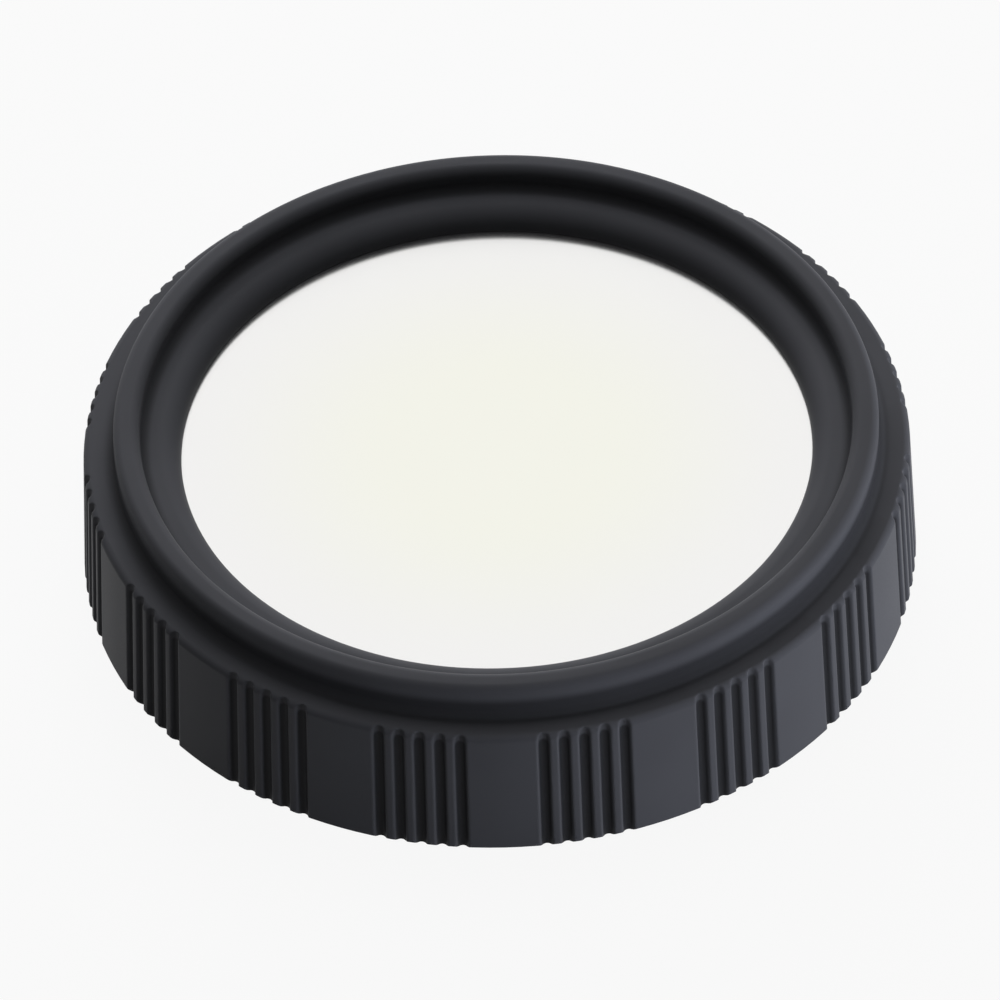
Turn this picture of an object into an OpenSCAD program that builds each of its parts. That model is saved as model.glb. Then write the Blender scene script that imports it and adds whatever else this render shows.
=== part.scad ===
// Slip-on solar filter cell for a small refracting telescope.
// The cell stands on its open mouth at z = 0 with the front of the film facing up (+Z).
// Every radius is stacked inwards from the tube that the cell slips over, and every
// height downwards from the rim's top or the shoulder, so one size can change alone.

/* [Telescope fit] */
// Outside diameter of the dew shield that the cell slips over
tube_d = 84.8; // [60:0.2:130]
// Clearance between the dew shield and the bore, on each side
tube_clear = 0.2; // [0.1:0.05:0.5]
// Width of the stop face that the dew shield's end meets
stop_w = 1.5; // [1:0.1:2.4]
// Lead-in chamfer at the mouth of the bore
lead_in = 0.6; // [0.3:0.1:1]

/* [Skirt and shoulder] */
// Thickness of the skirt at its mouth
skirt_wall = 3.4; // [2.6:0.1:5]
// Height of the skirt from its mouth to the shoulder
skirt_h = 16.4; // [13:0.1:30]
// How much the skirt's radius narrows from its mouth to the shoulder
skirt_draft = 0.8; // [0.2:0.1:1.4]
// Chamfer on the mouth's outer edge
mouth_chamfer = 0.3; // [0.1:0.05:0.6]
// Rounding where the skirt turns into the shoulder
shoulder_round = 0.8; // [0.4:0.1:1.4]
// Width of the shoulder between the skirt and the rim
shoulder_w = 3.4; // [2.4:0.1:5]
// Fillet at the foot of the rim
rim_foot_fillet = 1.1; // [0.6:0.1:1.6]

/* [Front rim and ledge] */
// Height of the rim above the shoulder
rim_h = 4; // [3.2:0.1:7]
// Width of the rim
rim_w = 2.9; // [2.4:0.1:4.5]
// Rounding of the rim's outer edge
rim_outer_round = 0.9; // [0.4:0.1:1.1]
// Rounding of the rim's inner edge
rim_inner_round = 1.1; // [0.4:0.1:1.3]
// Depth of the ledge below the rim's top
ledge_drop = 2.9; // [2.4:0.1:3.4]
// Width of the ledge between the rim and the window
ledge_w = 4.35; // [3.6:0.05:6]
// Fillet where the ledge meets the rim's inner wall
ledge_fillet = 1; // [0.3:0.1:1.1]
// Rounding of the ledge's inner edge, down to the film
ledge_round = 2.3; // [1:0.1:2.4]

/* [Film seat] */
// Depth of the film's front below the shoulder
film_drop = 1.4; // [1:0.1:3]
// Thickness of the solar film
film_t = 0.2; // [0.1:0.05:0.5]
// Gap between the film's edge and the pocket
film_play = 0.4; // [0.2:0.1:0.8]

/* [Retaining ring] */
// Thickness of the retaining ring
ring_t = 1.8; // [1.2:0.1:2.6]
// Gap between the ring and the pocket
ring_play = 0.1; // [0.05:0.05:0.3]
// How far the ring's opening stands back from the window
ring_setback = 0.5; // [0.2:0.1:1]
// Chamfer on the ring's inner edge, on the telescope's side
ring_bevel = 0.9; // [0.3:0.1:1]
// Chamfer on the ring's outer edges
ring_edge = 0.3; // [0.1:0.05:0.4]

/* [Snap beads] */
// Number of snap beads that hold the ring
bead_count = 6; // [3:1:12]
// Angle that each bead spans, in degrees
bead_span = 12; // [6:1:24]
// How far each bead stands out of the pocket's wall
bead_bite = 0.4; // [0.3:0.05:0.6]
// Height of each bead
bead_h = 0.7; // [0.5:0.1:1.2]

/* [Grip] */
// Number of groups of grooves round the skirt
grip_groups = 16; // [8:1:20]
// Number of grooves in a group
group_grooves = 5; // [2:1:6]
// Angle from one groove of a group to the next, in degrees
groove_step = 2.8; // [2.2:0.05:3.2]
// Radius of the groove's rounded section
groove_r = 0.65; // [0.6:0.05:0.9]
// Depth of the grooves
groove_depth = 0.6; // [0.3:0.05:0.65]

/* [Hidden] */

// Radii, from the tube's bore outwards and then back in to the window
bore_r = tube_d / 2 + tube_clear;
mouth_r = bore_r + skirt_wall;
edge_r = mouth_r - skirt_draft;
rim_r = edge_r - shoulder_w;
rim_in_r = rim_r - rim_w;
window_r = rim_in_r - ledge_w;
pocket_r = bore_r - stop_w;
film_r = pocket_r - film_play;
ring_r = pocket_r - ring_play;
ring_in_r = window_r + ring_setback;

// Heights, from the rim's top down to the stop face
top_z = skirt_h + rim_h;
ledge_z = top_z - ledge_drop;
film_z = skirt_h - film_drop;
ring_top_z = film_z - film_t;
ring_low_z = ring_top_z - ring_t;
stop_z = ring_low_z - bead_h;

// The skirt's slope, and the centre of the rounding at its upper edge
draft_a = atan(skirt_draft / skirt_h);
round_z = skirt_h - shoulder_round;
round_r = mouth_r - (shoulder_round + round_z * sin(draft_a)) / cos(draft_a);

// How far a cutter runs past the face that it cuts
over = 0.5;
// Angle from one group of grooves to the next
group_step = 360 / grip_groups;
// Segments of a full turn, of a rounded edge and of a groove
turn_fn = 240;
edge_fn = 48;
groove_fn = 24;

// What lies between a square corner at [r, z] and a rounding of the given radius.
// The signs side_r and side_z point from the corner towards the rounding's centre.
module corner_piece(r, z, radius, side_r, side_z) {
    skin = 0.05;
    difference() {
        translate([r + side_r * (radius - skin) / 2, z + side_z * (radius - skin) / 2])
            square(radius + skin, center = true);
        translate([r + side_r * radius, z + side_z * radius]) circle(radius, $fn = edge_fn);
    }
}

// The cell's outer outline, from the axis to the drafted skirt, shoulder and rim
module cell_outline() {
    chamfer_r = mouth_chamfer * tan(draft_a);
    polygon([
        [0, 0],
        [mouth_r - mouth_chamfer, 0],
        [mouth_r - chamfer_r, mouth_chamfer],
        [round_r + shoulder_round * cos(draft_a), round_z + shoulder_round * sin(draft_a)],
        [round_r, skirt_h],
        [rim_r, skirt_h],
        [rim_r, top_z],
        [0, top_z]
    ]);
    translate([round_r, round_z]) circle(shoulder_round, $fn = edge_fn);
}

// The hollow from z0 to z1 inside the radius r1
module hollow(z0, z1, r1) {
    translate([-over, z0]) square([r1 + over, z1 - z0]);
}

// Half section of the moulded cell
module cell_section() {
    difference() {
        union() {
            difference() {
                cell_outline();
                hollow(-over, stop_z, bore_r);
                hollow(stop_z - over, film_z, pocket_r);
                hollow(film_z - over, top_z + over, window_r);
                hollow(ledge_z, top_z + over, rim_in_r);
            }
            corner_piece(rim_r, skirt_h, rim_foot_fillet, 1, 1);
            corner_piece(rim_in_r, ledge_z, ledge_fillet, -1, 1);
        }
        corner_piece(rim_r, top_z, rim_outer_round, -1, -1);
        corner_piece(rim_in_r, top_z, rim_inner_round, 1, -1);
        corner_piece(window_r, ledge_z, ledge_round, 1, -1);
        polygon([
            [bore_r - over, -over],
            [bore_r + lead_in + over, -over],
            [bore_r - over, lead_in + over]
        ]);
    }
}

// One bead on the pocket's wall: it ramps in from the mouth and locks flat under the ring
module snap_bead() {
    rotate([0, 0, -bead_span / 2]) rotate_extrude(angle = bead_span, $fn = turn_fn)
        polygon([
            [pocket_r + over, stop_z],
            [pocket_r, stop_z],
            [pocket_r - bead_bite, ring_low_z - bead_bite / 2],
            [pocket_r - bead_bite, ring_low_z],
            [pocket_r + over, ring_low_z]
        ]);
}

// One straight groove that follows the skirt's slope from mouth to shoulder
module grip_groove() {
    translate([mouth_r, 0, 0]) rotate([0, -draft_a, 0])
        translate([groove_r - groove_depth, 0, -over])
            cylinder(h = skirt_h + 3 * over, r = groove_r, $fn = groove_fn);
}

// All the grooves, with a smooth pad left at the front, the back and each side
module grip_grooves() {
    for (group = [0 : grip_groups - 1])
        for (groove = [0 : group_grooves - 1])
            rotate([0, 0, (group + 0.5) * group_step + (groove - (group_grooves - 1) / 2) * groove_step])
                grip_groove();
}

module front_cell() {
    color([0.16, 0.17, 0.19]) union() {
        difference() {
            rotate_extrude($fn = turn_fn) cell_section();
            grip_grooves();
        }
        for (bead = [0 : bead_count - 1])
            rotate([0, 0, (bead + 0.5) * 360 / bead_count]) snap_bead();
    }
}

module solar_film() {
    color([0.95, 0.95, 0.93]) translate([0, 0, ring_top_z])
        cylinder(h = film_t, r = film_r, $fn = turn_fn);
}

module retaining_ring() {
    color([0.12, 0.12, 0.14]) rotate_extrude($fn = turn_fn)
        polygon([
            [ring_in_r, ring_top_z],
            [ring_in_r, ring_low_z + ring_bevel],
            [ring_in_r + ring_bevel, ring_low_z],
            [ring_r - ring_edge, ring_low_z],
            [ring_r, ring_low_z + ring_edge],
            [ring_r, ring_top_z - ring_edge],
            [ring_r - ring_edge, ring_top_z]
        ]);
}

front_cell();
solar_film();
retaining_ring();
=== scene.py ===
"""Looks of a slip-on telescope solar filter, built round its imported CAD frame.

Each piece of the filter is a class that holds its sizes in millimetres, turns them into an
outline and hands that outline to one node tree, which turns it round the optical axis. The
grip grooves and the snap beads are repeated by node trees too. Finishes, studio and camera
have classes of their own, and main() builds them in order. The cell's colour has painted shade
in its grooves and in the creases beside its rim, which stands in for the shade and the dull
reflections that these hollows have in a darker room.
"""

from __future__ import annotations

import logging
import math
from dataclasses import dataclass
from enum import Enum
from typing import Sequence

import bmesh
import bpy
from mathutils import Matrix, Vector

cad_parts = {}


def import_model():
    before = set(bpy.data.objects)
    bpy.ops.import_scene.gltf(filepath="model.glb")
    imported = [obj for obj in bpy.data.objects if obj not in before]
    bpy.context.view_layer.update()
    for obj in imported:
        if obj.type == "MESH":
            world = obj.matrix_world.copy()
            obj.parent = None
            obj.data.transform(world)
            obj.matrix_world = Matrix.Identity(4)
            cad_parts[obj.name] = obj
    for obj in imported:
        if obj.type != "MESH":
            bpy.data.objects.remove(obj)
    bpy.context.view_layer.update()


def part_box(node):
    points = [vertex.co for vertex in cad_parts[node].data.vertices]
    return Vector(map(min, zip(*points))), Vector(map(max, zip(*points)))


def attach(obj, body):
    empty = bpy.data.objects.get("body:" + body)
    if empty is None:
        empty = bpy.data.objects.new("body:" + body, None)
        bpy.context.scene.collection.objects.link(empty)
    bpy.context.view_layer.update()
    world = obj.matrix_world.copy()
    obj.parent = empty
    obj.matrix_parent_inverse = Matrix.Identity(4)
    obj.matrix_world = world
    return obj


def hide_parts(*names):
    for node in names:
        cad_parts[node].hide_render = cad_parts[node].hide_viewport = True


log = logging.getLogger("solar_filter")

MM = 0.001
BODY = "root"
# How far the ring's opening stands back from the window, in millimetres.
RING_SETBACK = 0.5


class Slot(Enum):
    """The record's material slots."""

    CELL = "cell_plastic"
    FILM = "solar_film"
    RING = "ring_plastic"


class Node(Enum):
    """The CAD nodes that the pieces here stand for."""

    CELL = "front_cell"
    FILM = "solar_film"
    RING = "retaining_ring"


@dataclass(frozen=True)
class Corner:
    """One corner of an outline, in millimetres, with the radius that rounds it off."""

    r: float
    z: float
    radius: float = 0.0
    steps: int = 3

    @property
    def point(self) -> Vector:
        """The sharp corner's own place, as (r, z)."""
        return Vector((self.r, self.z))


class Outline:
    """A closed outline in the plane of radius and height, made of rounded corners."""

    def __init__(self, corners: Sequence[Corner]) -> None:
        """Keeps the corners in their order round the outline.

        Args:
            corners: The corners, each joined to the next, and the last to the first.
        """
        self.corners = list(corners)

    def points(self) -> list[Vector]:
        """Lists the outline's points, with every rounding laid out as an arc.

        Returns:
            The points in millimetres, in order, without repeating the first.
        """
        found: list[Vector] = []
        for i, corner in enumerate(self.corners):
            before = self.corners[i - 1].point
            after = self.corners[(i + 1) % len(self.corners)].point
            found.extend(self._rounded(before, corner, after))
        return found

    @staticmethod
    def _rounded(before: Vector, corner: Corner, after: Vector) -> list[Vector]:
        """Lays out the arc that rounds one corner.

        Args:
            before: The corner before it.
            corner: The corner to round.
            after: The corner after it.

        Returns:
            The arc's points, or the corner alone where it stays sharp.
        """
        if corner.radius <= 0:
            return [corner.point]
        to_before = (before - corner.point).normalized()
        to_after = (after - corner.point).normalized()
        half = math.acos(max(-1.0, min(1.0, to_before.dot(to_after)))) / 2
        centre = corner.point + (to_before + to_after).normalized() * (corner.radius / math.sin(half))
        start = corner.point + to_before * (corner.radius / math.tan(half)) - centre
        turn = math.pi - 2 * half
        sign = 1 if to_before.x * to_after.y - to_before.y * to_after.x < 0 else -1
        arc = []
        for step in range(corner.steps + 1):
            angle = sign * turn * step / corner.steps
            spin = Matrix.Rotation(angle, 2)
            arc.append(centre + spin @ start)
        return arc


class TreeBuilder:
    """Adds nodes to a node tree and links them by plain calls."""

    FIRST_COLOUR = 6
    SECOND_COLOUR = 7
    MIXED_COLOUR = 2

    def __init__(self, tree: bpy.types.NodeTree) -> None:
        """Keeps the tree that is being built.

        Args:
            tree: A geometry or shader node tree.
        """
        self.tree = tree

    def add(self, kind: str, settings: dict | None = None, **inputs: object) -> bpy.types.Node:
        """Adds one node, sets its properties and fills its inputs.

        Args:
            kind: The node's type, such as "ShaderNodeMath".
            settings: Properties of the node itself, such as its operation.
            **inputs: Values or sockets for its inputs, by name with _ for a space.

        Returns:
            The new node.
        """
        node = self.tree.nodes.new(kind)
        for name, value in (settings or {}).items():
            setattr(node, name, value)
        for name, value in inputs.items():
            self.fill(node.inputs[name.replace("_", " ")], value)
        return node

    def fill(self, socket: bpy.types.NodeSocket, value: object) -> None:
        """Links a socket to an input, or sets the input's own value.

        Args:
            socket: The input.
            value: A number, a colour, a vector or another node's output.
        """
        if isinstance(value, bpy.types.NodeSocket):
            self.tree.links.new(value, socket)
        else:
            socket.default_value = value

    def math(self, operation: str, *values: object) -> bpy.types.NodeSocket:
        """Adds one Math node.

        Args:
            operation: The node's operation, such as "ADD".
            *values: Its operands, as numbers or sockets.

        Returns:
            The result's socket.
        """
        node = self.add("ShaderNodeMath", {"operation": operation})
        for socket, value in zip(node.inputs, values):
            self.fill(socket, value)
        return node.outputs[0]

    def mix(self, share: object, one: object, two: object, way: str = "MIX") -> bpy.types.NodeSocket:
        """Adds one Mix node for colours.

        Args:
            share: How much of the second colour is taken, from 0 to 1.
            one: The first colour.
            two: The second colour.
            way: How they are put together, such as "MULTIPLY".

        Returns:
            The mixed colour's socket.
        """
        node = self.add("ShaderNodeMix", {"data_type": "RGBA", "blend_type": way}, Factor=share)
        self.fill(node.inputs[self.FIRST_COLOUR], one)
        self.fill(node.inputs[self.SECOND_COLOUR], two)
        return node.outputs[self.MIXED_COLOUR]

    def from_axis(
        self, place: bpy.types.NodeSocket
    ) -> tuple[bpy.types.NodeSocket, bpy.types.NodeSocket]:
        """Splits a place into its distance from the optical axis and its height.

        Args:
            place: Object coordinates, in metres.

        Returns:
            The distance and the height, in metres.
        """
        axes = self.add("ShaderNodeSeparateXYZ", Vector=place)
        flat = self.add("ShaderNodeCombineXYZ", X=axes.outputs["X"], Y=axes.outputs["Y"], Z=0.0)
        reach = self.add("ShaderNodeVectorMath", {"operation": "LENGTH"}, Vector=flat.outputs[0])
        return reach.outputs["Value"], axes.outputs["Z"]

    def seen(self) -> bpy.types.NodeSocket:
        """Tells the rays on which a thing is seen or mirrored from those that light a surface.

        Returns:
            A value of 1 on camera, glossy and transmission rays, and of 0 on the others.
        """
        paths = self.add("ShaderNodeLightPath").outputs
        mirrored = self.math("MAXIMUM", paths["Is Glossy Ray"], paths["Is Transmission Ray"])
        direct = self.math("MAXIMUM", paths["Is Camera Ray"], mirrored)
        return self.math("MULTIPLY", direct, self.math("LESS_THAN", paths["Diffuse Depth"], 0.5))


def new_material(name: str) -> tuple[bpy.types.Material, TreeBuilder, bpy.types.Node]:
    """Starts a material.

    Args:
        name: The material's name.

    Returns:
        The material, a builder for its tree and its main shader.
    """
    made = bpy.data.materials.new(name)
    made.use_nodes = True
    return made, TreeBuilder(made.node_tree), made.node_tree.nodes["Principled BSDF"]


@dataclass(frozen=True)
class GripPattern:
    """Groups of straight grooves round a drafted skirt, in millimetres and degrees."""

    groups: int = 16
    grooves: int = 5
    step: float = 2.8
    radius: float = 0.65
    depth: float = 0.6
    edge_round: float = 0.07
    mouth_r: float = 46.0
    slope: float = 0.8 / 16.4
    groove_columns: int = 14
    pad_columns: int = 4


@dataclass(frozen=True)
class PlainTurn:
    """A turned form with no grooves: only the number of sectors and their columns."""

    groups: int = 16
    pad_columns: int = 14


class TurningTree:
    """The node tree that turns an outline round the optical axis and cuts grooves in it.

    The modifier's own object holds the outline as a chain of points. A grid with a column
    for each angle and a row for each point is bent round the axis, and where a groove's
    cutter reaches further in than the outline, the surface follows the cutter.
    """

    NAME = "turned_form"
    FAR = 1.0
    WELD = 1e-6

    def __init__(self) -> None:
        """Builds the tree with its named inputs."""
        self.tree = bpy.data.node_groups.new(self.NAME, "GeometryNodeTree")
        face = self.tree.interface
        face.new_socket("Outline", in_out="INPUT", socket_type="NodeSocketGeometry")
        for name in ("Groups", "Grooves", "Groove Columns", "Pad Columns"):
            face.new_socket(name, in_out="INPUT", socket_type="NodeSocketInt")
        for name in (
            "Groove Step", "Groove Radius", "Groove Depth", "Edge Round", "Mouth Radius", "Slope"
        ):
            face.new_socket(name, in_out="INPUT", socket_type="NodeSocketFloat")
        face.new_socket("Material", in_out="INPUT", socket_type="NodeSocketMaterial")
        face.new_socket("Geometry", in_out="OUTPUT", socket_type="NodeSocketGeometry")
        self.nodes = TreeBuilder(self.tree)
        self.inputs = self.nodes.add("NodeGroupInput").outputs
        self._build()

    def _build(self) -> None:
        """Lays out the nodes from the outline to the finished mesh."""
        n, given = self.nodes, self.inputs
        sector_columns = n.math(
            "ADD", n.math("MULTIPLY", given["Grooves"], given["Groove Columns"]), given["Pad Columns"]
        )
        columns = n.math("MULTIPLY", given["Groups"], sector_columns)
        counted = n.add("GeometryNodeAttributeDomainSize", Geometry=given["Outline"])
        rows = counted.outputs["Point Count"]
        grid = n.add(
            "GeometryNodeMeshGrid",
            Size_X=1.0,
            Size_Y=1.0,
            Vertices_X=n.math("ADD", columns, 1),
            Vertices_Y=n.math("ADD", rows, 1),
        )
        place = n.add("ShaderNodeSeparateXYZ", Vector=n.add("GeometryNodeInputPosition").outputs[0])
        column = n.math("ROUND", n.math("MULTIPLY", n.math("ADD", place.outputs["X"], 0.5), columns))
        row = n.math("ROUND", n.math("MULTIPLY", n.math("ADD", place.outputs["Y"], 0.5), rows))
        point = self._outline_point(n.math("MODULO", row, rows))
        angle, off_centre = self._angles(column, sector_columns)
        cut = self._cutter_radius(off_centre, point.outputs["Z"])
        radius = n.math("SMOOTH_MIN", point.outputs["X"], cut, given["Edge Round"])
        bent = n.add(
            "ShaderNodeCombineXYZ",
            X=n.math("MULTIPLY", radius, n.math("COSINE", angle)),
            Y=n.math("MULTIPLY", radius, n.math("SINE", angle)),
            Z=point.outputs["Z"],
        )
        turned = n.add(
            "GeometryNodeSetPosition", Geometry=grid.outputs["Mesh"], Position=bent.outputs[0]
        )
        closed = n.add("GeometryNodeMergeByDistance", Geometry=turned.outputs[0], Distance=self.WELD)
        smooth = n.add("GeometryNodeSetShadeSmooth", Geometry=closed.outputs[0])
        real = n.add("GeometryNodeRealizeInstances", Geometry=smooth.outputs[0])
        dressed = n.add("GeometryNodeSetMaterial", Geometry=real.outputs[0], Material=given["Material"])
        out = n.add("NodeGroupOutput")
        self.tree.links.new(dressed.outputs[0], out.inputs["Geometry"])

    def _outline_point(self, row: bpy.types.NodeSocket) -> bpy.types.Node:
        """Reads the outline's point for a row.

        Args:
            row: The row's number.

        Returns:
            A Separate XYZ node with r in X and z in Z.
        """
        n = self.nodes
        sample = n.add(
            "GeometryNodeSampleIndex",
            {"data_type": "FLOAT_VECTOR", "domain": "POINT"},
            Geometry=self.inputs["Outline"],
            Value=n.add("GeometryNodeInputPosition").outputs[0],
            Index=row,
        )
        return n.add("ShaderNodeSeparateXYZ", Vector=sample.outputs[0])

    def _angles(
        self, column: bpy.types.NodeSocket, sector_columns: bpy.types.NodeSocket
    ) -> tuple[bpy.types.NodeSocket, bpy.types.NodeSocket]:
        """Works out each column's angle round the axis and its angle from the nearest groove.

        Args:
            column: The column's number.
            sector_columns: How many columns one group and its pad take.

        Returns:
            The angle in radians, and the angle from the groove's middle, far outside on a pad.
        """
        n, given = self.nodes, self.inputs
        sector = n.math("FLOOR", n.math("DIVIDE", column, sector_columns))
        local = n.math("SUBTRACT", column, n.math("MULTIPLY", sector, sector_columns))
        grooved = n.math("MULTIPLY", given["Grooves"], given["Groove Columns"])
        in_grooves = n.math("MINIMUM", local, grooved)
        in_pad = n.math("MAXIMUM", n.math("SUBTRACT", local, grooved), 0)
        sector_angle = n.math("DIVIDE", math.tau, given["Groups"])
        group_angle = n.math("MULTIPLY", given["Grooves"], given["Groove Step"])
        pad_step = n.math("DIVIDE", n.math("SUBTRACT", sector_angle, group_angle), given["Pad Columns"])
        groove_count = n.math("DIVIDE", in_grooves, n.math("MAXIMUM", given["Groove Columns"], 1))
        in_group = n.math("MULTIPLY", groove_count, given["Groove Step"])
        from_start = n.math("ADD", in_group, n.math("MULTIPLY", in_pad, pad_step))
        half_pad = n.math("DIVIDE", n.math("SUBTRACT", sector_angle, group_angle), 2)
        in_sector = n.math("ADD", half_pad, from_start)
        angle = n.math("ADD", n.math("MULTIPLY", sector, sector_angle), in_sector)
        off = n.math("SUBTRACT", n.math("FRACT", groove_count), 0.5)
        off_centre = n.math("MULTIPLY", n.math("ABSOLUTE", off), given["Groove Step"])
        on_pad = n.math("GREATER_THAN", in_pad, 0.5)
        return angle, n.math("ADD", off_centre, on_pad)

    def _cutter_radius(
        self, off_centre: bpy.types.NodeSocket, height: bpy.types.NodeSocket
    ) -> bpy.types.NodeSocket:
        """Works out how near the axis the groove's round cutter comes at an angle and a height.

        Args:
            off_centre: The angle from the groove's middle, in radians.
            height: The height above the mouth.

        Returns:
            The cutter's radius there, or a large one beside the cutter.
        """
        n, given = self.nodes, self.inputs
        wall = n.math("SUBTRACT", given["Mouth Radius"], n.math("MULTIPLY", height, given["Slope"]))
        axis = n.math("ADD", wall, n.math("SUBTRACT", given["Groove Radius"], given["Groove Depth"]))
        aside = n.math("MULTIPLY", axis, n.math("SINE", off_centre))
        ahead = n.math("MULTIPLY", axis, n.math("COSINE", off_centre))
        room = n.math("SUBTRACT", n.math("POWER", given["Groove Radius"], 2), n.math("POWER", aside, 2))
        near = n.math("SUBTRACT", ahead, n.math("SQRT", n.math("MAXIMUM", room, 0)))
        beside = n.math("MULTIPLY", n.math("LESS_THAN", room, 0), self.FAR)
        return n.math("ADD", near, beside)


class BeadTree:
    """The node tree that sets copies of one bead evenly round the optical axis."""

    NAME = "bead_row"

    def __init__(self) -> None:
        """Builds the tree with its named inputs."""
        self.tree = bpy.data.node_groups.new(self.NAME, "GeometryNodeTree")
        face = self.tree.interface
        face.new_socket("Bead", in_out="INPUT", socket_type="NodeSocketGeometry")
        face.new_socket("Count", in_out="INPUT", socket_type="NodeSocketInt")
        face.new_socket("Material", in_out="INPUT", socket_type="NodeSocketMaterial")
        face.new_socket("Geometry", in_out="OUTPUT", socket_type="NodeSocketGeometry")
        n = TreeBuilder(self.tree)
        given = n.add("NodeGroupInput").outputs
        points = n.add("GeometryNodePoints", Count=given["Count"])
        number = n.add("GeometryNodeInputIndex").outputs[0]
        turns = n.math("MULTIPLY", n.math("ADD", number, 0.5), math.tau)
        turn = n.math("DIVIDE", turns, given["Count"])
        copies = n.add(
            "GeometryNodeInstanceOnPoints",
            Points=points.outputs[0],
            Instance=given["Bead"],
            Rotation=n.add("ShaderNodeCombineXYZ", Z=turn).outputs[0],
        )
        real = n.add("GeometryNodeRealizeInstances", Geometry=copies.outputs[0])
        dressed = n.add("GeometryNodeSetMaterial", Geometry=real.outputs[0], Material=given["Material"])
        out = n.add("NodeGroupOutput")
        self.tree.links.new(dressed.outputs[0], out.inputs["Geometry"])


def run_tree(
    source: bpy.types.Mesh, tree: bpy.types.NodeTree, values: dict[str, object]
) -> bpy.types.Mesh:
    """Runs a node tree on a mesh and returns the result as a plain mesh.

    Args:
        source: The mesh that the tree's first input takes.
        tree: The node tree.
        values: Its other inputs, by name.

    Returns:
        The evaluated mesh, with its faces turned outwards.
    """
    carrier = bpy.data.objects.new(tree.name, source)
    bpy.context.scene.collection.objects.link(carrier)
    modifier = carrier.modifiers.new(tree.name, "NODES")
    modifier.node_group = tree
    keys = {item.name: item.identifier for item in tree.interface.items_tree if item.in_out == "INPUT"}
    for name, value in values.items():
        modifier[keys[name]] = value
    graph = bpy.context.evaluated_depsgraph_get()
    mesh = bpy.data.meshes.new_from_object(carrier.evaluated_get(graph), depsgraph=graph)
    carrier.modifiers.remove(modifier)
    bpy.data.objects.remove(carrier)
    mesh.materials.clear()
    mesh.materials.append(values["Material"])
    mesh.polygons.foreach_set("material_index", [0] * len(mesh.polygons))
    face_outwards(mesh)
    return mesh


def face_outwards(mesh: bpy.types.Mesh) -> None:
    """Turns every face of a closed mesh outwards.

    Args:
        mesh: The mesh, which is changed in place.
    """
    work = bmesh.new()
    work.from_mesh(mesh)
    bmesh.ops.recalc_face_normals(work, faces=work.faces)
    work.to_mesh(mesh)
    work.free()


def chain_mesh(name: str, points: Sequence[Vector]) -> bpy.types.Mesh:
    """Makes a mesh of loose points from an outline in millimetres, with r in X and z in Z.

    Args:
        name: The mesh's name.
        points: The outline's points.

    Returns:
        A mesh in metres.
    """
    mesh = bpy.data.meshes.new(name)
    mesh.from_pydata([(p.x * MM, 0.0, p.y * MM) for p in points], [], [])
    return mesh


def joined(name: str, meshes: Sequence[bpy.types.Mesh]) -> bpy.types.Mesh:
    """Puts several meshes into one.

    Args:
        name: The new mesh's name.
        meshes: The meshes, which share one material.

    Returns:
        The joined mesh, with the first one's material.
    """
    work = bmesh.new()
    for mesh in meshes:
        work.from_mesh(mesh)
    whole = bpy.data.meshes.new(name)
    work.to_mesh(whole)
    work.free()
    whole.materials.append(meshes[0].materials[0])
    return whole


def set_piece(name: str, mesh: bpy.types.Mesh, node: Node) -> bpy.types.Object:
    """Places a finished mesh in the scene as a piece that stands for a CAD node.

    Args:
        name: The piece's name.
        mesh: Its mesh, in the frame's own place.
        node: The CAD node that it stands for.

    Returns:
        The piece.
    """
    piece = bpy.data.objects.new(name, mesh)
    bpy.context.scene.collection.objects.link(piece)
    shading = piece.modifiers.new("even_shading", "WEIGHTED_NORMAL")
    shading.keep_sharp = True
    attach(piece, BODY)
    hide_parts(node.value)
    log.info("%s: %d faces, stands for %s", name, len(mesh.polygons), node.value)
    return piece


@dataclass(frozen=True)
class Crease:
    """A crease that runs round the axis, in millimetres.

    Shade is painted along it: darkest up to the near distance from its corner, and the colour is plain
    from the far one on.
    """

    r: float
    z: float
    near: float
    far: float


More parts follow.
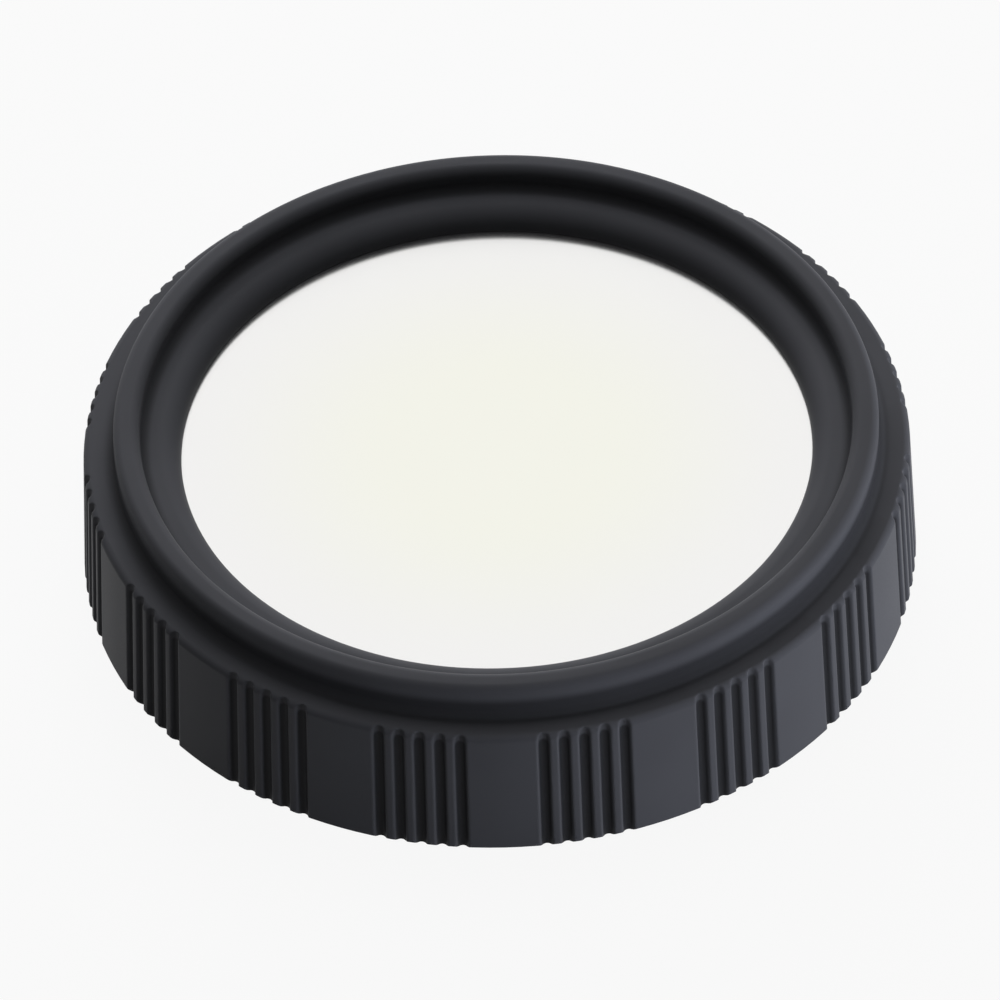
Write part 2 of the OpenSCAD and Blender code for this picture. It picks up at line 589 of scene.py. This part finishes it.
@dataclass(frozen=True)
class PaintedHollowShade:
    """Painted shade on a moulding: its colour is darkened in its grip grooves and in the creases beside
    its rim.

    Sizes are in millimetres. The painted shade in a groove is darkest at the full depth under the
    skirt's wall.
    """

    wall_r: float
    slope: float
    grip_inner_r: float
    groove_top: float
    creases: tuple[Crease, ...]
    groove_fade: float = 1.0
    groove_start: float = 0.04
    groove_depth: float = 0.45
    # How dark the painted shade gets in the grooves and in the creases.
    groove_shade_level: float = 0.35
    crease_shade_level: float = 0.45

    def tone(self, n: TreeBuilder, place: bpy.types.NodeSocket) -> bpy.types.NodeSocket:
        """Builds the painted shade: the factor that the base colour is multiplied by.

        Args:
            n: The material's tree.
            place: Object coordinates, in metres.

        Returns:
            A value of 1 on open surfaces and less in the grooves and creases, where shade is painted.
        """
        reach, height = n.from_axis(place)
        r = n.math("DIVIDE", reach, MM)
        z = n.math("DIVIDE", height, MM)
        tone = self._groove_shade(n, r, z)
        for crease in self.creases:
            aside = n.math("POWER", n.math("SUBTRACT", r, crease.r), 2)
            above = n.math("POWER", n.math("SUBTRACT", z, crease.z), 2)
            away = n.math("SQRT", n.math("ADD", aside, above))
            crease_shade = self._ramp(n, away, crease.near, crease.far, self.crease_shade_level)
            tone = n.math("MINIMUM", tone, crease_shade)
        return tone

    def _groove_shade(
        self, n: TreeBuilder, r: bpy.types.NodeSocket, z: bpy.types.NodeSocket
    ) -> bpy.types.NodeSocket:
        """Builds the grooves' painted shade from how deep a point lies under the skirt's wall.

        Args:
            n: The material's tree.
            r: The distance from the optical axis, in millimetres.
            z: The height above the mouth, in millimetres.

        Returns:
            The factor's socket.
        """
        wall = n.math("SUBTRACT", self.wall_r, n.math("MULTIPLY", z, self.slope))
        depth = n.math("SUBTRACT", wall, r)
        on_grip = n.math("GREATER_THAN", r, self.grip_inner_r)
        below_edge = self._ramp(n, z, self.groove_top, self.groove_top - self.groove_fade, 0.0)
        counted = n.math("MULTIPLY", depth, n.math("MULTIPLY", on_grip, below_edge))
        return self._ramp(n, counted, self.groove_depth, self.groove_start, self.groove_shade_level)

    def _ramp(
        self, n: TreeBuilder, value: bpy.types.NodeSocket, low_at: float, full_at: float, low: float
    ) -> bpy.types.NodeSocket:
        """Eases a factor from a low value at one place to 1 at another."""
        ease = n.add(
            "ShaderNodeMapRange",
            {"interpolation_type": "SMOOTHSTEP"},
            Value=value,
            From_Min=low_at,
            From_Max=full_at,
            To_Min=low,
            To_Max=1.0,
        )
        return ease.outputs[0]


@dataclass(frozen=True)
class MouldedPlastic:
    """Satin black plastic from a mould, with a fine grain that breaks up its gloss."""

    name: str
    colour: tuple[float, float, float]
    roughness: float
    specular: float
    grain_size: float = 0.25
    grain_height: float = 0.01
    grain_strength: float = 0.35
    roughness_spread: float = 0.06
    cloud_scale: float = 60.0
    cloud_low: float = 0.85
    cloud_high: float = 1.15

    def material(self, painted_shade: PaintedHollowShade | None = None) -> bpy.types.Material:
        """Builds the material.

        Args:
            painted_shade: Where shade is painted into the piece's colour, if anywhere.

        Returns:
            A material that reads Object coordinates only.
        """
        made, n, shader = new_material(self.name)
        shader.inputs["Specular IOR Level"].default_value = self.specular
        place = n.add("ShaderNodeTexCoord").outputs["Object"]
        grain_scale = 1 / (self.grain_size * MM)
        grain = n.add(
            "ShaderNodeTexNoise", Vector=place, Scale=grain_scale, Detail=3.0, Roughness=0.6
        )
        cloud = n.add("ShaderNodeTexNoise", Vector=place, Scale=self.cloud_scale, Detail=2.0)
        tone = n.add(
            "ShaderNodeMapRange", Value=cloud.outputs[0], To_Min=self.cloud_low, To_Max=self.cloud_high
        )
        shade = tone.outputs[0]
        # Painted shade: the colour is darkened in the grooves and creases.
        if painted_shade:
            shade = n.math("MULTIPLY", shade, painted_shade.tone(n, place))
        n.fill(shader.inputs["Base Color"], n.mix(1.0, (*self.colour, 1.0), shade, "MULTIPLY"))
        rough = n.add(
            "ShaderNodeMapRange",
            Value=grain.outputs[0],
            To_Min=self.roughness - self.roughness_spread,
            To_Max=self.roughness + self.roughness_spread,
        )
        n.fill(shader.inputs["Roughness"], rough.outputs[0])
        bump = n.add(
            "ShaderNodeBump",
            Strength=self.grain_strength,
            Distance=self.grain_height * MM,
            Height=grain.outputs[0],
        )
        n.fill(shader.inputs["Normal"], bump.outputs[0])
        return made


@dataclass(frozen=True)
class MetallisedFilm:
    """Polymer film with a silver-white metal coat in front and a dark back."""

    name: str
    middle: tuple[float, float, float]
    edge: tuple[float, float, float]
    back: tuple[float, float, float]
    window_r: float
    middle_z: float
    middle_share: float = 0.3
    smoothest: float = 0.16
    roughest: float = 0.22
    ripple_scale: float = 90.0
    ripple_strength: float = 0.2
    ripple_height: float = 0.02

    def material(self) -> bpy.types.Material:
        """Builds the material.

        Returns:
            A material that reads Object coordinates only.
        """
        made, n, shader = new_material(self.name)
        shader.inputs["Metallic"].default_value = 1.0
        place = n.add("ShaderNodeTexCoord").outputs["Object"]
        reach, height = n.from_axis(place)
        outwards = n.add(
            "ShaderNodeMapRange",
            {"interpolation_type": "SMOOTHSTEP"},
            Value=reach,
            From_Min=self.middle_share * self.window_r * MM,
            From_Max=self.window_r * MM,
        )
        front = n.mix(outwards.outputs[0], (*self.middle, 1.0), (*self.edge, 1.0))
        is_front = n.math("GREATER_THAN", height, self.middle_z * MM)
        n.fill(shader.inputs["Base Color"], n.mix(is_front, (*self.back, 1.0), front))
        ripple = n.add("ShaderNodeTexNoise", Vector=place, Scale=self.ripple_scale, Detail=3.0)
        rough = n.add(
            "ShaderNodeMapRange", Value=ripple.outputs[0], To_Min=self.smoothest, To_Max=self.roughest
        )
        n.fill(shader.inputs["Roughness"], rough.outputs[0])
        bump = n.add(
            "ShaderNodeBump",
            Strength=self.ripple_strength,
            Distance=self.ripple_height * MM,
            Height=ripple.outputs[0],
        )
        n.fill(shader.inputs["Normal"], bump.outputs[0])
        return made


@dataclass
class FrontCell:
    """The moulded cell: skirt, shoulder, rim, ledge, lip, pocket and bore, in millimetres."""

    finish: MouldedPlastic
    grip: GripPattern
    skirt_h: float = 16.4
    skirt_draft: float = 0.8
    skirt_wall: float = 3.4
    mouth_chamfer: float = 0.3
    shoulder_w: float = 3.4
    shoulder_round: float = 0.8
    rim_h: float = 4.0
    rim_w: float = 2.9
    rim_foot_fillet: float = 1.1
    rim_outer_round: float = 0.9
    rim_inner_round: float = 1.1
    ledge_drop: float = 2.9
    ledge_w: float = 4.35
    ledge_fillet: float = 1.0
    ledge_round: float = 2.3
    film_drop: float = 1.4
    lead_in: float = 0.6
    stop_w: float = 1.5
    stop_z: float = 12.3
    bead_count: int = 6
    bead_span: float = 12.0
    bead_bite: float = 0.4
    bead_h: float = 0.7
    bead_steps: int = 10
    crisp: float = 0.08
    # Where the painted shade at the rim's foot sits, and how far below the shoulder the grooves'
    # painted shade ends.
    foot_rise: float = 1.0
    groove_end: float = 0.5

    @property
    def mouth_r(self) -> float:
        """Outer radius at the open mouth."""
        return self.grip.mouth_r

    @property
    def bore_r(self) -> float:
        """Radius of the bore for the dew shield."""
        return self.mouth_r - self.skirt_wall

    @property
    def pocket_r(self) -> float:
        """Radius of the pocket that holds the film and the ring."""
        return self.bore_r - self.stop_w

    @property
    def rim_r(self) -> float:
        """Outer radius of the front rim."""
        return self.mouth_r - self.skirt_draft - self.shoulder_w

    @property
    def rim_in_r(self) -> float:
        """Inner radius of the front rim."""
        return self.rim_r - self.rim_w

    @property
    def window_r(self) -> float:
        """Radius of the window in front of the film."""
        return self.rim_in_r - self.ledge_w

    @property
    def ledge_z(self) -> float:
        """Height of the ledge round the window."""
        return self.skirt_h + self.rim_h - self.ledge_drop

    def painted_shade(self) -> PaintedHollowShade:
        """Says where shade is painted into the moulding's colour: in its grooves, at the rim's foot and
        inside the rim.

        Returns:
            The places of the painted shade, for the finish.
        """
        foot = Crease(r=self.rim_r, z=self.skirt_h + self.foot_rise, near=0.5, far=1.8)
        inside = Crease(r=self.rim_in_r, z=self.ledge_z, near=0.3, far=1.3)
        return PaintedHollowShade(
            wall_r=self.mouth_r,
            slope=self.grip.slope,
            grip_inner_r=self.mouth_r - self.skirt_draft - self.grip.depth,
            groove_top=self.skirt_h - self.groove_end,
            creases=(foot, inside),
        )

    def outline(self) -> Outline:
        """Lays out the cell's half section, from the lead-in chamfer round the outside.

        Returns:
            The closed outline.
        """
        edge_r = self.mouth_r - self.skirt_draft
        chamfer_r = self.mouth_r - self.mouth_chamfer * self.grip.slope
        top_z = self.skirt_h + self.rim_h
        film_z = self.skirt_h - self.film_drop
        crisp = self.crisp
        return Outline(
            [
                Corner(self.bore_r + self.lead_in, 0, crisp, steps=2),
                Corner(self.mouth_r - self.mouth_chamfer, 0, crisp, steps=2),
                Corner(chamfer_r, self.mouth_chamfer, crisp, steps=2),
                Corner(edge_r, self.skirt_h, self.shoulder_round, steps=9),
                Corner(self.rim_r, self.skirt_h, self.rim_foot_fillet, steps=7),
                Corner(self.rim_r, top_z, self.rim_outer_round, steps=7),
                Corner(self.rim_in_r, top_z, self.rim_inner_round, steps=8),
                Corner(self.rim_in_r, self.ledge_z, self.ledge_fillet, steps=7),
                Corner(self.window_r, self.ledge_z, self.ledge_round, steps=14),
                Corner(self.window_r, film_z, crisp, steps=2),
                Corner(self.pocket_r, film_z),
                Corner(self.pocket_r, self.stop_z, crisp, steps=2),
                Corner(self.bore_r, self.stop_z),
                Corner(self.bore_r, self.lead_in, crisp, steps=2),
            ]
        )

    def bead_mesh(self) -> bpy.types.Mesh:
        """Makes one snap bead, which ramps in from the mouth and locks flat under the ring.

        Returns:
            A closed mesh across the X axis, its back sunk into the pocket's wall.
        """
        root_r = self.pocket_r + self.bead_bite
        tip_r = self.pocket_r - self.bead_bite
        top = self.stop_z + self.bead_h
        section = [
            (root_r, self.stop_z),
            (self.pocket_r, self.stop_z),
            (tip_r, top - self.bead_bite / 2),
            (tip_r, top),
            (root_r, top),
        ]
        work = bmesh.new()
        loops = []
        for step in range(self.bead_steps + 1):
            angle = math.radians(self.bead_span) * (step / self.bead_steps - 0.5)
            loops.append(
                [
                    work.verts.new((r * math.cos(angle) * MM, r * math.sin(angle) * MM, z * MM))
                    for r, z in section
                ]
            )
        for one, two in zip(loops, loops[1:]):
            for i in range(len(section)):
                j = (i + 1) % len(section)
                work.faces.new((one[i], one[j], two[j], two[i]))
        work.faces.new(loops[0])
        work.faces.new(loops[-1])
        bmesh.ops.recalc_face_normals(work, faces=work.faces)
        mesh = bpy.data.meshes.new("snap_bead")
        work.to_mesh(mesh)
        work.free()
        return mesh

    def build(self, turning: TurningTree, beads: BeadTree) -> bpy.types.Object:
        """Builds the cell with its grooves and beads.

        Args:
            turning: The tree that turns the outline.
            beads: The tree that repeats the bead.

        Returns:
            The finished piece.
        """
        # The cell's finish carries painted shade in its grooves and creases.
        material = self.finish.material(self.painted_shade())
        grip = self.grip
        shell = run_tree(
            chain_mesh("cell_outline", self.outline().points()),
            turning.tree,
            {
                "Groups": grip.groups,
                "Grooves": grip.grooves,
                "Groove Columns": grip.groove_columns,
                "Pad Columns": grip.pad_columns,
                "Groove Step": math.radians(grip.step),
                "Groove Radius": grip.radius * MM,
                "Groove Depth": grip.depth * MM,
                "Edge Round": grip.edge_round * MM,
                "Mouth Radius": grip.mouth_r * MM,
                "Slope": grip.slope,
                "Material": material,
            },
        )
        row = run_tree(self.bead_mesh(), beads.tree, {"Count": self.bead_count, "Material": material})
        return set_piece("moulded_cell", joined("moulded_cell", [shell, row]), Node.CELL)


@dataclass
class SolarFilm:
    """The flat film disc behind the window, in millimetres."""

    finish: MetallisedFilm
    radius: float
    low_z: float
    high_z: float
    rings: int = 10
    turn: PlainTurn = PlainTurn()

    def build(self, turning: TurningTree) -> bpy.types.Object:
        """Builds the film.

        Args:
            turning: The tree that turns the outline.

        Returns:
            The finished piece.
        """
        radii = [self.radius * i / self.rings for i in range(self.rings + 1)]
        top = [Corner(radius, self.high_z) for radius in reversed(radii)]
        low = [Corner(radius, self.low_z) for radius in radii]
        mesh = run_plain(turning, Outline(top + low), self.turn, self.finish.material())
        return set_piece("film_disc", mesh, Node.FILM)


@dataclass
class RetainingRing:
    """The ring that holds the film against the cell's lip, in millimetres."""

    finish: MouldedPlastic
    inner_r: float
    outer_r: float
    low_z: float
    high_z: float
    bevel: float = 0.9
    edge: float = 0.3
    crisp: float = 0.06
    turn: PlainTurn = PlainTurn()

    def build(self, turning: TurningTree) -> bpy.types.Object:
        """Builds the ring.

        Args:
            turning: The tree that turns the outline.

        Returns:
            The finished piece.
        """
        outline = Outline(
            [
                Corner(self.inner_r, self.high_z, self.crisp),
                Corner(self.inner_r, self.low_z + self.bevel, self.crisp),
                Corner(self.inner_r + self.bevel, self.low_z, self.crisp),
                Corner(self.outer_r - self.edge, self.low_z, self.crisp),
                Corner(self.outer_r, self.low_z + self.edge, self.crisp),
                Corner(self.outer_r, self.high_z - self.edge, self.crisp),
                Corner(self.outer_r - self.edge, self.high_z, self.crisp),
            ]
        )
        mesh = run_plain(turning, outline, self.turn, self.finish.material())
        return set_piece("film_ring", mesh, Node.RING)


def run_plain(
    turning: TurningTree, outline: Outline, turn: PlainTurn, material: bpy.types.Material
) -> bpy.types.Mesh:
    """Turns an outline that has no grooves.

    Args:
        turning: The tree that turns it.
        outline: The outline.
        turn: How finely it is turned.
        material: Its material.

    Returns:
        The turned mesh.
    """
    values = {
        "Groups": turn.groups,
        "Grooves": 0,
        "Groove Columns": 1,
        "Pad Columns": turn.pad_columns,
        "Mouth Radius": TurningTree.FAR,
        "Material": material,
    }
    return run_tree(chain_mesh("plain_outline", outline.points()), turning.tree, values)


def direction(azimuth: float, elevation: float) -> Vector:
    """Gives the unit vector at an azimuth from +X and an elevation, in degrees."""
    turn, rise = math.radians(azimuth), math.radians(elevation)
    return Vector((math.cos(turn) * math.cos(rise), math.sin(turn) * math.cos(rise), math.sin(rise)))


@dataclass(frozen=True)
class SoftLamp:
    """A studio lamp that faces the object, in metres, degrees and watts.

    It is round, or a level strip where it has a height. It leaves no highlight on the object.
    """

    name: str
    azimuth: float
    elevation: float
    power: float
    size: float = 0.45
    distance: float = 0.7
    height: float = 0.0
    colour: tuple[float, float, float] = (1.0, 1.0, 1.0)

    def build(self, target: Vector) -> None:
        """Adds the lamp.

        Args:
            target: The point that it faces.
        """
        data = bpy.data.lights.new(self.name, "AREA")
        data.shape = "RECTANGLE" if self.height else "DISK"
        data.size = self.size
        data.size_y = self.height
        data.energy = self.power
        data.color = self.colour
        lamp = bpy.data.objects.new(self.name, data)
        way = direction(self.azimuth, self.elevation)
        lamp.location = target + way * self.distance
        lamp.rotation_euler = way.to_track_quat("Z", "Y").to_euler()
        lamp.visible_camera = False
        lamp.visible_glossy = False
        bpy.context.scene.collection.objects.link(lamp)


@dataclass(frozen=True)
class PaleSurrounding:
    """A surrounding that is seen and mirrored as white, and lights softly from above the back."""

    azimuth: float = 90.0
    elevation: float = 50.0
    bright: float = 1.0
    dim: float = 0.04
    inner: float = 24.0
    outer: float = 60.0
    white: float = 1.0

    def build(self) -> None:
        """Builds the surrounding as the scene's world."""
        world = bpy.data.worlds.new("pale_surrounding")
        bpy.context.scene.world = world
        world.use_nodes = True
        n = TreeBuilder(world.node_tree)
        facing = n.add("ShaderNodeVectorMath", {"operation": "DOT_PRODUCT"})
        n.fill(facing.inputs[0], n.add("ShaderNodeTexCoord").outputs["Object"])
        n.fill(facing.inputs[1], direction(self.azimuth, self.elevation))
        level = n.add(
            "ShaderNodeMapRange",
            {"interpolation_type": "SMOOTHSTEP"},
            Value=facing.outputs["Value"],
            From_Min=math.cos(math.radians(self.outer)),
            From_Max=math.cos(math.radians(self.inner)),
            To_Min=self.dim,
            To_Max=self.bright,
        )
        strength = n.add(
            "ShaderNodeMix", {"data_type": "FLOAT"}, Factor=n.seen(), A=level.outputs[0], B=self.white
        )
        ground = world.node_tree.nodes["Background"]
        ground.inputs["Color"].default_value = (1.0, 1.0, 1.0, 1.0)
        n.fill(ground.inputs["Strength"], strength.outputs[0])


@dataclass
class Studio:
    """A pale floor, a pale surrounding and soft lamps."""

    lamps: tuple[SoftLamp, ...]
    surrounding: PaleSurrounding = PaleSurrounding()
    floor_size: float = 6.0
    floor_drop: float = 0.00005
    floor_colour: tuple[float, float, float] = (0.35, 0.35, 0.35)
    floor_roughness: float = 0.9
    whitening: float = 0.92
    lit_height: float = 0.01

    def build(self) -> None:
        """Adds the floor, the surrounding and the lamps."""
        self._floor()
        self.surrounding.build()
        for lamp in self.lamps:
            lamp.build(Vector((0.0, 0.0, self.lit_height)))
        log.info("studio: %d lamps", len(self.lamps))

    def _floor(self) -> None:
        """Adds the floor, whitened where it is seen or mirrored, with the object's shadow on it."""
        mesh = bpy.data.meshes.new("floor")
        half = self.floor_size / 2
        low = -self.floor_drop
        corners = [(-half, -half, low), (half, -half, low), (half, half, low), (-half, half, low)]
        mesh.from_pydata(corners, [], [(0, 1, 2, 3)])
        floor = bpy.data.objects.new("floor", mesh)
        bpy.context.scene.collection.objects.link(floor)
        material, n, shader = new_material("pale_floor")
        shader.inputs["Base Color"].default_value = (*self.floor_colour, 1.0)
        shader.inputs["Roughness"].default_value = self.floor_roughness
        shader.inputs["Specular IOR Level"].default_value = 0.0
        white = n.add("ShaderNodeEmission", Color=(1.0, 1.0, 1.0, 1.0), Strength=1.0)
        mixed = n.add("ShaderNodeMixShader")
        n.fill(mixed.inputs[0], n.math("MULTIPLY", n.seen(), self.whitening))
        n.fill(mixed.inputs[1], shader.outputs[0])
        n.fill(mixed.inputs[2], white.outputs[0])
        n.fill(n.tree.nodes["Material Output"].inputs["Surface"], mixed.outputs[0])
        mesh.materials.append(material)


@dataclass(frozen=True)
class PhotoCamera:
    """The photograph's viewpoint: a long lens looking down at about 45 degrees."""

    target: tuple[float, float, float] = (0.23, -5.33, 12.26)
    distance: float = 1000.0
    elevation: float = 45.05
    azimuth: float = 0.7
    roll: float = -1.95
    focal_pixels: float = 9150.0
    image_pixels: float = 1000.0
    sensor: float = 36.0

    def build(self) -> None:
        """Adds the camera and makes it the scene's own."""
        up, side = math.radians(self.elevation), math.radians(self.azimuth)
        back = Vector((math.sin(side) * math.cos(up), -math.cos(side) * math.cos(up), math.sin(up)))
        data = bpy.data.cameras.new("photo_camera")
        data.sensor_width = self.sensor
        data.lens = self.focal_pixels / self.image_pixels * self.sensor
        camera = bpy.data.objects.new("photo_camera", data)
        right = Vector((math.cos(side), math.sin(side), 0.0))
        above = back.cross(right)
        turn = Matrix.Rotation(math.radians(self.roll), 3, back)
        frame = Matrix((turn @ right, turn @ above, back)).transposed()
        camera.matrix_world = Matrix.LocRotScale(
            (Vector(self.target) + back * self.distance) * MM, frame.to_quaternion(), None
        )
        bpy.context.scene.collection.objects.link(camera)
        bpy.context.scene.camera = camera
        log.info("camera: lens %.0f mm", data.lens)


def main() -> None:
    """Builds the filter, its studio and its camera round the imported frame."""
    logging.basicConfig(level=logging.INFO, format="%(name)s: %(message)s")
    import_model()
    bpy.context.scene.view_settings.view_transform = "Standard"

    PhotoCamera().build()
    turning, beads = TurningTree(), BeadTree()

    black = MouldedPlastic(
        "satin_black_plastic", colour=(0.046, 0.047, 0.053), roughness=0.5, specular=0.06
    )
    cell = FrontCell(black, GripPattern())
    cell.build(turning, beads)

    film_low, film_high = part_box(Node.FILM.value)
    silver = MetallisedFilm(
        "metallised_film",
        middle=(0.9, 0.9, 0.82),
        edge=(0.89, 0.885, 0.875),
        back=(0.05, 0.05, 0.055),
        window_r=cell.window_r,
        middle_z=(film_low[2] + film_high[2]) / 2 / MM,
    )
    film = SolarFilm(
        silver, radius=film_high[0] / MM, low_z=film_low[2] / MM, high_z=film_high[2] / MM
    )
    film.build(turning)

    ring_low, ring_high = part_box(Node.RING.value)
    matt = MouldedPlastic(
        "matt_black_plastic", colour=(0.022, 0.022, 0.024), roughness=0.6, specular=0.06
    )
    ring = RetainingRing(
        matt,
        inner_r=cell.window_r + RING_SETBACK,
        outer_r=ring_high[0] / MM,
        low_z=ring_low[2] / MM,
        high_z=ring_high[2] / MM,
    )
    ring.build(turning)

    lamps = (
        SoftLamp("back_lamp", azimuth=96.0, elevation=20.0, power=5.4),
        SoftLamp("top_lamp", azimuth=70.0, elevation=64.0, power=1.8),
        SoftLamp(
            "side_strip",
            azimuth=338.0,
            elevation=0.0,
            power=1.7,
            size=0.5,
            distance=0.3,
            height=0.014,
            colour=(0.9, 0.93, 1.0),
        ),
    )
    Studio(lamps).build()


if __name__ == "__main__":
    main()
